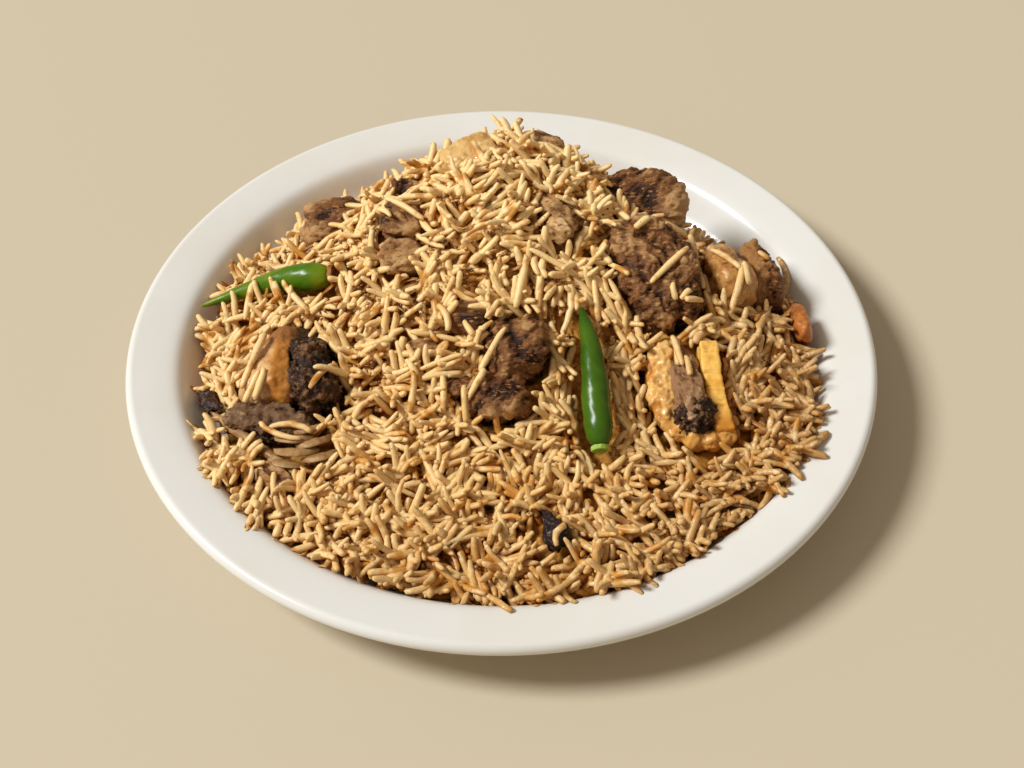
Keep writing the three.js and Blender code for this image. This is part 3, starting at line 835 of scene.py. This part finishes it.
POURS = (                        # how many tries, how many are broken, and how much of the heap is left over
    (900, 0.35, -2.0, "skirt"), (9500, 0.08, -PROUD, "room"), (3600, 1.0, 0.7, "gaps"),
    (5000, 0.0, -PROUD, "room"), (5000, 0.6, 0.0, "room"))

across = np.arange(-REACH, REACH + CELL, CELL)
last = len(across) - 1


def top_of(piece):
    """How high a piece stands over each cell, in millimetres, seen from straight above."""
    skin = BVHTree.FromObject(piece, bpy.context.evaluated_depsgraph_get())
    corners = points_of(piece) / MM
    low, high = corners.min(0), corners.max(0)
    stands = np.full((last + 1, last + 1), BARE)
    down = Vector((0, 0, -1))
    columns = np.flatnonzero((across >= low[0]) & (across <= high[0]))
    for row in np.flatnonzero((across >= low[1]) & (across <= high[1])):
        for column in columns:
            hit = skin.ray_cast(Vector((across[column], across[row], 200)) * MM, down)[0]
            if hit:
                stands[row, column] = hit.z / MM
    return stands


def spread(heights, cells, best):
    """The best of each cell and its neighbours, that many cells all round."""
    for axis in (0, 1):
        heights = best.reduce([np.roll(heights, step, axis) for step in range(-cells, cells + 1)])
    return heights


def smooth(heights, cells):
    """Each cell's mean with its neighbours, that many cells all round."""
    for axis in (0, 1):
        heights = sum(np.roll(heights, step, axis) for step in range(-cells, cells + 1)) / (2 * cells + 1)
    return heights


def cell_of(place):
    """The row or column that a place in millimetres falls in."""
    return np.clip(np.rint((place + REACH) / CELL).astype(int), 0, last)


plate_top = top_of(plate)
heap_top = top_of(nodes["rice_heap"])
in_heap = spread(spread(heap_top, GAPS, np.maximum), GAPS, np.minimum) > BARE
in_heap &= (across > SIDE_ENDS[0]) & (across < SIDE_ENDS[1])
heap_top = np.maximum(heap_top, plate_top)
heap_top = smooth(spread(spread(heap_top, GAPS, np.maximum), GAPS, np.minimum), LEVELLED)
surface = np.maximum(plate_top, np.where(heap_top - plate_top > BED_DEPTH, heap_top - BED_DEPTH, BARE))
pieces_top = np.full_like(surface, BARE)
in_clear = np.zeros_like(in_heap)
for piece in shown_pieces():
    if piece not in (plate, core, nodes["rice_heap"]):
        stands = top_of(piece)
        pieces_top = np.maximum(pieces_top, stands)
        if piece.name.startswith(KEPT_CLEAR):
            in_clear |= stands > heap_top - CLEAR_DEPTH
surface = np.maximum(surface, pieces_top)
downhill_y, downhill_x = np.gradient(smooth(heap_top, SLOPE_BAND), CELL)
covered = pieces_top > heap_top - COVER
room = in_heap & ~spread(covered, EDGE_BAND, np.minimum) & ~spread(in_clear, CLEAR_BAND, np.maximum)
skirt = spread(in_heap, EDGE_FROM, np.minimum) & ~spread(in_heap, EDGE_TO, np.minimum) & ~covered
areas = {"room": room, "skirt": skirt, "gaps": in_heap & ~covered & ~in_clear}

STATIONS = np.linspace(-0.5, 0.5, 9)      # where along and across it a grain feels for what lies under it
LANES = np.array([-0.6, 0.0, 0.6])


def bowed(bend, share):
    """How far aside of its mean line a bent grain lies, at a share of its length from its middle."""
    return bend * (4 * share ** 2 - 1 / 3)


def sagged(share, left, right):
    """How far a grain whose two ends sag hangs down."""
    return np.where(share < 0, left, right) * 4 * share ** 2


def turned(x, y, cos, sin, along, aside):
    """The places so far along and aside of one, seen the way that a grain points."""
    return x + along * cos - aside * sin, y + along * sin + aside * cos


def settle(x, y, yaw, length, bend):
    """Lays grains down at places and says how each comes to rest: the height of its middle, its slope,
    and how far its two ends may sag."""
    along = STATIONS * length[:, None]
    aside = bowed(bend[:, None], STATIONS)[:, :, None] + LANES
    at_x, at_y = turned(
        x[:, None, None], y[:, None, None], np.cos(yaw)[:, None, None], np.sin(yaw)[:, None, None],
        along[:, :, None], aside)
    under = surface[cell_of(at_y), cell_of(at_x)].max(axis=2)
    middle = STATIONS.size // 2
    left, right = along[:, :middle, None], along[:, None, middle + 1:]
    under_left, under_right = under[:, :middle, None], under[:, None, middle + 1:]
    span = right - left
    bridge = ((under_left * right - under_right * left) / span).reshape(len(x), -1)
    slopes = ((under_right - under_left) / span).reshape(len(x), -1)
    chosen = bridge.argmax(axis=1)
    each = np.arange(len(x))
    height, slope = bridge[each, chosen], slopes[each, chosen]
    on_middle = under[:, middle] > height
    height = np.maximum(height, under[:, middle])
    rises = (under - height[:, None]) / np.where(along == 0, 1, along)
    least, most = rises[:, middle + 1:].max(axis=1), rises[:, :middle].min(axis=1)
    slope = np.where(on_middle, np.clip(slope, least, np.maximum(least, most)), slope)
    gap = height[:, None] + slope[:, None] * along - under
    return height, slope, np.maximum(gap[:, 0], 0), np.maximum(gap[:, -1], 0)


def settle_one(*grain):
    """The same for one grain."""
    return (result[0] for result in settle(*(np.array([float(value)]) for value in grain)))


RASTER = np.linspace(-0.48, 0.48, 36)     # where a grain that lies raises the surface
RASTER_LANES = np.linspace(-1, 1, 7)
RASTER_WIDTH = 0.42


def lay(grain):
    """Raises the surface by one grain that has come to rest."""
    x, y, z, yaw, slope, length, width, bend, sag_left, sag_right = grain
    along = (RASTER * length)[:, None]
    aside = bowed(bend, RASTER)[:, None] + RASTER_LANES * width * RASTER_WIDTH
    at_x, at_y = turned(x, y, math.cos(yaw), math.sin(yaw), along, aside)
    crown = width / 2 * GRAIN_FLATNESS * np.sqrt(1 - (RASTER_LANES * 0.95) ** 2)
    top = z + slope * along - sagged(RASTER, sag_left, sag_right)[:, None] + crown
    np.maximum.at(surface, (cell_of(at_y), cell_of(at_x)), top)


def between(pair, count):
    """Random values between two."""
    return rng.uniform(pair[0], pair[1], count)


def pour(tries, broken_share, least_room, allowed):
    """Drops grains one after another on the cells allowed, where the heap is lowest, and keeps those that
    come to rest with at least that much of the heap left over their middles."""
    kept = []
    room_y, room_x = np.nonzero(allowed)
    for _ in range(tries):
        picked = rng.integers(0, len(room_x), CHOICES)
        x = across[room_x[picked]] + rng.uniform(-CELL, CELL, CHOICES)
        y = across[room_y[picked]] + rng.uniform(-CELL, CELL, CHOICES)
        lean = [noise(Vector((a / SWATH, b / SWATH, 5))) for a, b in zip(x, y)]
        yaw = np.array(lean) * 2 * math.pi + rng.normal(0, SWATH_SPREAD, CHOICES)
        stuck = bool(kept) and rng.random() < CLINGING
        if stuck:
            beside = kept[-1]
            aside = rng.choice((-1, 1), CHOICES) * beside[6] * between(CLING_GAP, CHOICES)
            slip = rng.normal(0, CLING_SLIP, CHOICES)
            x, y = turned(beside[0], beside[1], math.cos(beside[3]), math.sin(beside[3]), slip, aside)
            yaw = beside[3] + rng.normal(0, CLING_TURN, CHOICES)
        broken = rng.random(CHOICES) < broken_share
        length = np.where(broken, between(BROKEN_LENGTH, CHOICES), between(GRAIN_LENGTH, CHOICES))
        width = between(GRAIN_WIDTH, CHOICES)
        curl = np.where(rng.random(CHOICES) < CURLED_SHARE, CURL[1], CURL[0])
        bend = rng.normal(0, 1, CHOICES) * curl * length
        if stuck:
            bend = beside[7] + CLING_OWN_BEND * bend
        height, slope, gap_left, gap_right = settle(x, y, yaw, length, bend)
        tip = np.where(rng.random(CHOICES) < TIPPED_SHARE, rng.normal(0, TIPPED, CHOICES), 0)
        middle = height + width / 2 * GRAIN_FLATNESS - PRESSED - np.abs(tip) * length * TIPPED_SINK
        row, column = cell_of(y), cell_of(x)
        middle = np.maximum(middle, plate_top[row, column] + width / 2 * GRAIN_FLATNESS)
        fall = downhill_x[row, column] * np.cos(yaw) + downhill_y[row, column] * np.sin(yaw)
        spare = heap_top[row, column] - middle
        fits = (np.abs(slope - fall) < STEEPEST) & (spare > least_room) & allowed[row, column]
        if not fits.any():
            continue
        best = np.where(fits, spare + rng.normal(0, CHOICE_SLACK, CHOICES), -99).argmax()
        limp = 0.0 if tip[best] else SAG
        sags = [min(limp * gap[best], MOST_SAG * length[best]) for gap in (gap_left, gap_right)]
        grain = (x[best], y[best], middle[best], yaw[best], slope[best] + tip[best], length[best],
                 width[best], bend[best], *sags)
        lay(grain)
        kept.append(grain)
    return kept


grain_rows = []
for tries, broken_share, least_room, area in POURS:
    grain_rows += pour(tries, broken_share, least_room, areas[area])

# Grains that fell on the meat, the chilies and the rim: across, along, turn in degrees, length and, on a
# bent one, bow.
LAID_GRAINS = (
    # the middle, then the folded piece, the back and the right
    (-3, -24, 60, 18), (-8, -35, 50, 13), (-12, -40, 95, 14), (-9, -19, 50, 14), (-20, -27, 20, 16),
    (-8, -16, 35, 14), (-25, -13, 130, 12), (-18, -17, 175, 8), (-19, -11, 115, 11, 2),
    (-4, -6, 90, 10), (2, -6, 5, 7), (-3, -9, 45, 8), (-11, -15, 120, 7), (-20, -25, 10, 16),
    (-20, -29, 15, 15), (-19, -36, 90, 13), (-29, -28, 110, 11), (-29, -36, 80, 14), (57, 6, 45, 20),
    (61, 35, 180, 14), (48, 21, 45, 7), (42, 29, 115, 10), (32, 32, 85, 12), (33, 38, 120, 9, 2),
    (49, 36, 30, 6), (66, 25, 130, 5), (58, -3, 110, 6), (62, -4, 45, 5), (65, -5, 30, 8),
    (40, 6, 130, 10), (40, -2, 115, 16), (32, -2, 95, 18), (13, 0, 85, 20), (7, 0, 75, 19),
    (23, -6, 80, 20, 2), (22, 29, 170, 8), (26, 38, 65, 20), (9, 22, 45, 11), (18, 6, 160, 20),
    (103, 35, 90, 20, 2), (78, 17, 125, 15), (81, 5, 70, 20), (84, 9, 105, 8), (84, -4, 170, 6, 1),
    (80, -14, 140, 16, 2), (90, 0, 65, 12), (95, 0, 15, 6), (102, -15, 25, 9), (59, -19, 90, 13),
    (75, 46, 75, 8), (78, 46, 55, 8), (92, 25, 135, 5),
    # the left and back, then the rims
    (-41, 29, 115, 18), (-34, 29, 140, 19), (-28, 37, 140, 10), (-32, 34, 50, 7), (-29, 31, 175, 14),
    (-72, 9, 130, 17), (-78, 12, 115, 10), (-89, 13, 80, 14), (-1, -110, 130, 15), (18, -106, 35, 17),
    (101, -30, 130, 18), (105, -47, 50, 11), (102, -53, 165, 10), (93, -57, 125, 16),
    (88, -63, 110, 16), (90, -42, 60, 20),
    # the marrow bone, the rib piece and the cardamom
    (83, -51, 75, 17), (59, -20, 100, 14), (62, -27, 95, 9), (-59, -29, 65, 19), (-57, -28, 20, 14),
    (-69, -45, 170, 15, 2), (-73, -48, 155, 16, -2), (-84, -22, 70, 17), (-82, -17, 75, 16),
    (-80, -31, 65, 12), (-83, -31, 60, 12), (-91, -10, 60, 12), (-93, -19, 70, 11),
    (18, -89, 65, 8, -2),)
LAID_PRESSED = 0.35
LAID_STEEPEST = 0.9
surface = np.maximum(np.minimum(surface, heap_top + PROUD), pieces_top)
for x, y, turn, length, *bent in LAID_GRAINS:
    turn, bow = math.radians(turn), sum(bent)
    height, slope, gap_left, gap_right = settle_one(x, y, turn, length, bow)
    width = rng.uniform(*GRAIN_WIDTH)
    grain = (x, y, height + width / 2 * GRAIN_FLATNESS - LAID_PRESSED, turn,
             np.clip(slope, -LAID_STEEPEST, LAID_STEEPEST), length, width, bow,
             min(SAG * gap_left, MOST_SAG * length), min(SAG * gap_right, MOST_SAG * length))
    lay(grain)
    grain_rows.append(grain)

GRAIN_PALE = (0.84, 0.57, 0.24, 1)
GRAIN_TAN = (0.73, 0.43, 0.135, 1)
GRAIN_CREAM = (0.88, 0.64, 0.33, 1)
GRAIN_SAUCED = (0.57, 0.255, 0.045, 1)
GRAIN_SOAKED_AND_SHADE = (0.50, 0.19, 0.022, 1)
GRAIN_PAINTED_SHADE = (0.49, 0.27, 0.092, 1)
GRAIN_SPECK = (0.24, 0.09, 0.02, 1)
GRAIN_GOLD_AND_LIGHT = (0.94, 0.67, 0.31, 1)
GRAIN_UPPER_SHADE_AND_SOAK = (0.74, 0.42, 0.12, 1)
SHADE_AND_SOAK_DEPTH = 5.0               # how far down, in millimetres, the rice is fully painted in shade and soaked
SHADED_FLANKS = 0.33              # how much more painted shade a grain's flanks get than its crest
PLATE_GAP = 0.2                  # no grain sinks nearer to the glaze than this


def seed_of(primitive, **settings):
    """The points and the faces of a primitive, which isn't kept itself."""
    shape = start_shape("seed", primitive, **settings)
    points = points_of(shape).astype(float)
    faces = [tuple(face.vertices) for face in shape.data.polygons]
    bpy.data.objects.remove(shape)
    return points, faces


# A grain is drawn from a small six-sided ball, pulled out long, and then copied and bent for each row.
ball_points, ball_faces = seed_of(bpy.ops.mesh.primitive_uv_sphere_add, segments=6, ring_count=8, radius=1)
GRAIN_ALONG = np.sign(ball_points[:, 2]) * np.abs(ball_points[:, 2]) ** 0.6 / 2
GRAIN_ROUND = np.hypot(ball_points[:, 0], ball_points[:, 1])
ball_turn = np.arctan2(ball_points[:, 1], ball_points[:, 0])


def many_mesh(name, points, faces, tone):
    """One piece made of many small shapes, each with its own tone from 0 to 1."""
    count, corners = points.shape[:2]
    shape = bpy.data.meshes.new(name)
    offsets = np.arange(count) * corners
    all_faces = [tuple(corner + offset for corner in face) for offset in offsets for face in faces]
    shape.from_pydata((points.reshape(-1, 3) * MM).tolist(), [], all_faces)
    shape.polygons.foreach_set("use_smooth", np.ones(len(all_faces), bool))
    kept_tone = shape.attributes.new("tone", "FLOAT", "POINT")
    kept_tone.data.foreach_set("value", np.repeat(tone, corners).astype(np.float32))
    piece = bpy.data.objects.new(name, shape)
    bpy.context.collection.objects.link(piece)
    return piece


def grains_mesh(name, rows, flatness=GRAIN_FLATNESS):
    """One piece that holds a grain for each row."""
    table = np.array(rows)
    count = len(table)
    x, y, z, yaw, slope, length, width, bend, sag_left, sag_right = (
        table[:, column, None] for column in range(table.shape[1]))
    u = GRAIN_ALONG[None]
    roll = rng.uniform(0, 2 * math.pi, (count, 1))
    taper = 1 + rng.normal(0, TAPERED, (count, 1)) * u
    lumps = between(UNEVEN, (count, len(GRAIN_ALONG))) + RIPPLE * np.sin(u * RIPPLE_TURNS + roll)
    radius = GRAIN_ROUND ** between(BLUNTNESS, (count, 1)) * taper * lumps * width / 2
    hook = rng.normal(0, HOOKED, (count, 1)) * length * np.clip(u - HOOK_FROM, 0, 1) ** 2
    side = radius * np.cos(ball_turn + roll)
    lift = radius * np.sin(ball_turn + roll) * flatness
    turn, tilt = np.arctan(bend * 8 * u / length), np.arctan(slope)
    along = u * length - side * np.sin(turn)
    aside = bowed(bend, u) + hook + side * np.cos(turn)
    flat = along * np.cos(tilt) - lift * np.sin(tilt)
    up = z + along * np.sin(tilt) + lift * np.cos(tilt) - sagged(u, sag_left, sag_right)
    points = np.stack([*turned(x, y, np.cos(yaw), np.sin(yaw), flat, aside), up], axis=2)
    below = cell_of(points[:, :, 1]), cell_of(points[:, :, 0])
    points[:, :, 2] = np.maximum(points[:, :, 2], plate_top[below] + PLATE_GAP)
    piece = many_mesh(name, points, ball_faces, rng.random(count))
    # Painted shade, with the stock's soaking: a grain is painted darker the deeper it lies under the heap's
    # top, and more so on its flanks than on its crest; kept as 'buried'.
    depth = np.clip((heap_top[below] - points[:, :, 2]) / SHADE_AND_SOAK_DEPTH, 0, 1)
    flank = 1 - GRAIN_ROUND * np.sin(ball_turn + roll)
    shade_and_soak_share = np.clip(depth + SHADED_FLANKS * flank, 0, 1)
    buried = piece.data.attributes.new("buried", "FLOAT", "POINT")
    buried.data.foreach_set("value", shade_and_soak_share.ravel().astype(np.float32))
    return piece


grain_skin, tree, shader = start_material("cooked grain")
place = place_on(tree)
spot = add(tree, "SeparateXYZ", Vector=place).outputs
tone, buried = (add(tree, "Attribute", attribute_name=kept).outputs["Fac"] for kept in ("tone", "buried"))
sauce, mottle, dots = (
    cloudy(tree, place, *clouds) for clouds in ((140.0, 3.0), (420.0, 4.0, 0.6), (1300.0, 1.0)))
colour = coloured(tree, GRAIN_TAN, (tone, 0.05, 0.95, GRAIN_PALE))
# Painted light and shade across the heap: browner to the right and to the front, which face away from the
# lamp, and paler gold up the heap and to the left, which face it. Up the heap the rice is also less soaked.
for axis, start, end, tint in (
        ("X", 10, 110, GRAIN_PAINTED_SHADE), ("Y", -45, -160, GRAIN_PAINTED_SHADE), ("Z", 18, 65, GRAIN_GOLD_AND_LIGHT),
        ("X", 5, -135, GRAIN_GOLD_AND_LIGHT)):
    colour = tinted(tree, colour, spot[axis], start, end, tint)
# Over it: random cream mottle and sauce stains, then painted shade with soaking where 'buried' (lighter up
# the heap), random soaked patches and specks.
colour = coloured(
    tree, colour, (mottle, 0.46, 0.70, GRAIN_CREAM), (sauce, 0.52, 0.68, GRAIN_SAUCED),
    (buried, 0.05, 0.95, tinted(tree, GRAIN_SOAKED_AND_SHADE, spot["Z"], 22, 55, GRAIN_UPPER_SHADE_AND_SOAK)),
    (mottle, 0.66, 0.80, GRAIN_SOAKED_AND_SHADE), (dots, 0.70, 0.77, GRAIN_SPECK))
wire(tree, shader, Base_Color=colour, Roughness=scaled(tree, mottle, 0.26, 0.62),
     Normal=raised_by(tree, mottle, 0.5, 0.5), Coat_Weight=scaled(tree, buried, 0.25, 0.0),
     Coat_Roughness=0.3, Specular_IOR_Level=0.14, Subsurface_Weight=0.2,
     Subsurface_Radius=(1.0, 0.65, 0.35), Subsurface_Scale=1.0 * MM)

by_height = sorted(grain_rows, key=lambda grain: heap_top[cell_of(grain[1]), cell_of(grain[0])] - grain[2])
third = len(by_height) // 3
for name, rows in (("rice_top", by_height[:third]), ("rice_middle", by_height[third:2 * third]),
                   ("rice_low", by_height[2 * third:])):
    finish_piece(grains_mesh(name, rows), grain_skin, "rice")
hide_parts("rice_heap")

# ---- browned onion ----------------------------------------------------------------------------------------
# Onion was browned first and fell apart in the rice: thin dark shreds here and there, and everywhere
# crumbs of it and of meat, from orange to nearly black, caught between the grains.
SHREDS = 70
SHRED_LENGTH = (4, 10)
SHRED_WIDTH = (1.0, 2.2)
SHRED_FLATNESS = 0.4
SHRED_SINK = 0.5
SHRED_SLACK = 3.0                # a shred whose ends would hang higher than this is left out
SHRED_BEND = 0.14
SHRED_SAG = 0.6
CRUMBS = 4200
CRUMB_SIZE = (0.35, 1.7)
CRUMB_SINK = 0.45
CRUMB_PATCH = 9                  # how wide the patches that hold crumbs are, in millimetres
PATCHY = -0.02                   # and how much of the heap is left without, from -1 to 1
HIGHEST = 0.6                    # crumbs and specks lie only where the grains stand no prouder than this
LUMP_SHARE = (1.7, 1, 0.6)       # crumbs and specks are longer than wide, and flat
LUMP_UNEVEN = (0.6, 1.4)
BROWNED_DARK = (0.085, 0.028, 0.007, 1)
BROWNED_MID = (0.32, 0.12, 0.022, 1)
BROWNED_LIGHT = (0.58, 0.27, 0.065, 1)

lowest_near = spread(surface, 1, np.minimum)
even = in_heap & (lowest_near < heap_top + HIGHEST)
open_y, open_x = np.nonzero(even & ~covered)


def browned_material(name, dark, mid, light):
    """Browned scraps, each its own shade."""
    made, tree, shader = start_material(name)
    tone = add(tree, "Attribute", attribute_name="tone").outputs["Fac"]
    speckle = cloudy(tree, place_on(tree), 1100.0, 2.0)
    colour = coloured(tree, dark, (tone, 0.0, 0.3, mid), (tone, 0.3, 1.0, light), (speckle, 0.55, 0.7, mid))
    wire(tree, shader, Base_Color=colour, Roughness=scaled(tree, speckle, 0.2, 0.5),
         Normal=raised_by(tree, speckle, 0.5, 0.3))
    return made


shred_rows = []
for _ in range(SHREDS):
    picked = rng.integers(0, len(open_x))
    x, y = across[open_x[picked]], across[open_y[picked]]
    yaw, length = rng.uniform(0, math.pi), rng.uniform(*SHRED_LENGTH)
    width, bend = rng.uniform(*SHRED_WIDTH), rng.normal(0, SHRED_BEND) * length
    height, slope, gap_left, gap_right = settle_one(x, y, yaw, length, bend)
    if gap_left + gap_right <= SHRED_SLACK:
        shred_rows.append((x, y, height - SHRED_SINK, yaw, slope, length, width, bend,
                           SHRED_SAG * gap_left, SHRED_SAG * gap_right))
browned = browned_material("browned onion", BROWNED_DARK, BROWNED_MID, BROWNED_LIGHT)
finish_piece(grains_mesh("onion_shreds", shred_rows, SHRED_FLATNESS), browned, "char")


def scatter_bits(name, count, sizes, lump_y, lump_x, sink):
    """One piece of small uneven lumps, dropped on whatever is on top at cells picked from those given."""
    corners, faces = seed_of(bpy.ops.mesh.primitive_ico_sphere_add, subdivisions=1, radius=1)
    picked = rng.integers(0, len(lump_x), count)
    rows, columns = lump_y[picked], lump_x[picked]
    half = between(sizes, (count, 1)) / 2 * between(LUMP_UNEVEN, (count, 3)) * LUMP_SHARE
    points = corners[None] * half[:, None] * between(LUMP_UNEVEN, (count, len(corners), 1))
    turn = rng.uniform(0, math.pi, (count, 1))
    long, wide, thick = (points[:, :, axis] for axis in range(3))
    points = np.stack([*turned(0, 0, np.cos(turn), np.sin(turn), long, wide), thick], axis=2)
    stands = lowest_near[rows, columns] + half[:, 2] * (1 - sink)
    middle = np.stack([across[columns], across[rows], stands], axis=1)
    return many_mesh(name, points + middle[:, None], faces, rng.random(count))


in_patch = np.array([
    noise(Vector((across[column] / CRUMB_PATCH, across[row] / CRUMB_PATCH, 11))) > PATCHY
    for row, column in zip(open_y, open_x)])
crumbs = scatter_bits(
    "browned_crumbs", CRUMBS, CRUMB_SIZE, open_y[in_patch], open_x[in_patch], CRUMB_SINK)
finish_piece(crumbs, browned, "char")

# ---- ground pepper ----------------------------------------------------------------------------------------
# Coarse dark specks of ground spice on the grains and the meat.
SPECKS = 200
SPECK_SIZE = (0.2, 0.42)
SPECK_SINK = 0.3
pepper = scatter_bits("pepper_specks", SPECKS, SPECK_SIZE, *np.nonzero(even), SPECK_SINK)
ground_spice = browned_material("ground pepper", (0.010, 0.006, 0.004, 1), (0.035, 0.018, 0.010, 1),
                                (0.10, 0.045, 0.018, 1))
finish_piece(pepper, ground_spice, "pod")
